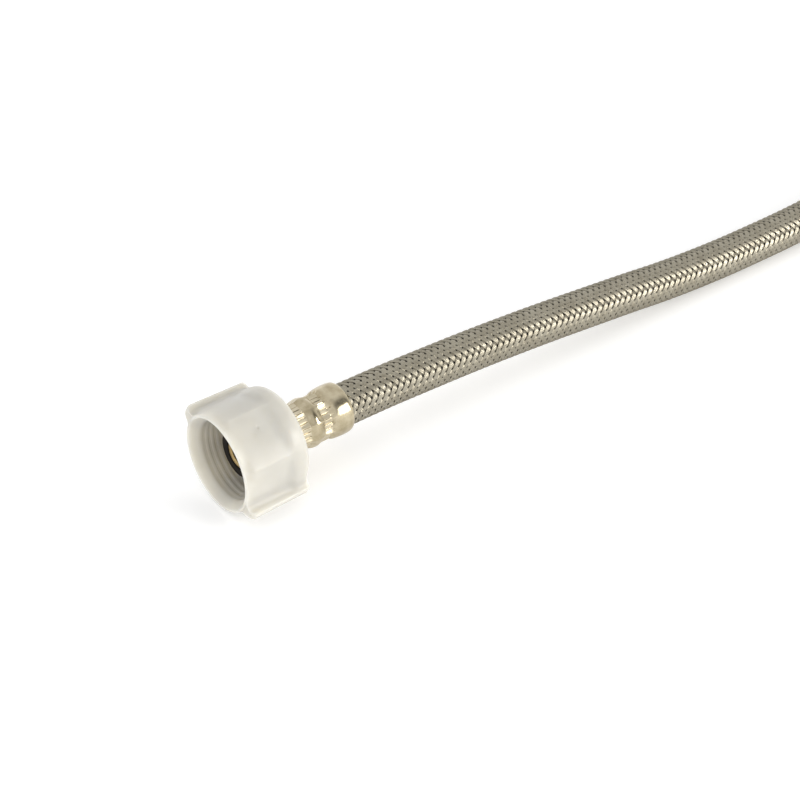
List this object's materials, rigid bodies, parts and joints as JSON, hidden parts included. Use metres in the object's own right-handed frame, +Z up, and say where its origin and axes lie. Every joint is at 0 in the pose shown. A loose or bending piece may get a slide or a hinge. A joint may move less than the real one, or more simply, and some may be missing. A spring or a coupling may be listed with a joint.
{
  "type": "braided supply line",
  "caption": "Flexible stainless-braided toilet supply line with a winged plastic ballcock nut on one end and a hex compression nut on the other.",
  "frame": {"origin": "under the middle of the ballcock fitting's length, on the surface that the line lies on", "axes": "+X along the ballcock fitting's axis, from its nut's mouth towards the hose; +Z up"},
  "size_m": [0.3048, 0.033, 0.031],
  "materials": {
    "milky_plastic": "translucent milky white, satin moulded",
    "black_rubber": "matte black",
    "stem_brass": "machined",
    "nickel_plate": "bright nickel plate, warm tone",
    "nut_nickel": "bright nickel plate",
    "braid_steel": "fine bright wires, braided",
    "white_yarn": "spun polyester",
    "grey_vinyl": "extruded"
  },
  "bodies": {
    "hose": {"ballcock_stem": "stem_brass", "cone_washer": "black_rubber", "ballcock_ferrule": "nickel_plate", "steel_braid": "braid_steel", "yarn_layer": "white_yarn", "inner_tube": "grey_vinyl", "compression_ferrule": "nickel_plate", "compression_stem": "stem_brass", "compression_seal": "black_rubber"},
    "wing_nut": {"ballcock_nut": "milky_plastic"},
    "hex_nut": {"compression_nut": "nut_nickel"}
  },
  "joints": [
    {"name": "ballcock_nut_spin", "type": "hinge", "parent": "hose", "child": "wing_nut", "pos_m": [0, 0, 0.0155], "axis": [1, 0, 0], "continuous": true},
    {"name": "compression_nut_spin", "type": "hinge", "parent": "hose", "child": "hex_nut", "pos_m": [0.2763, -0.005, 0.00873], "axis": [1, 0, 0], "continuous": true}
  ]
}
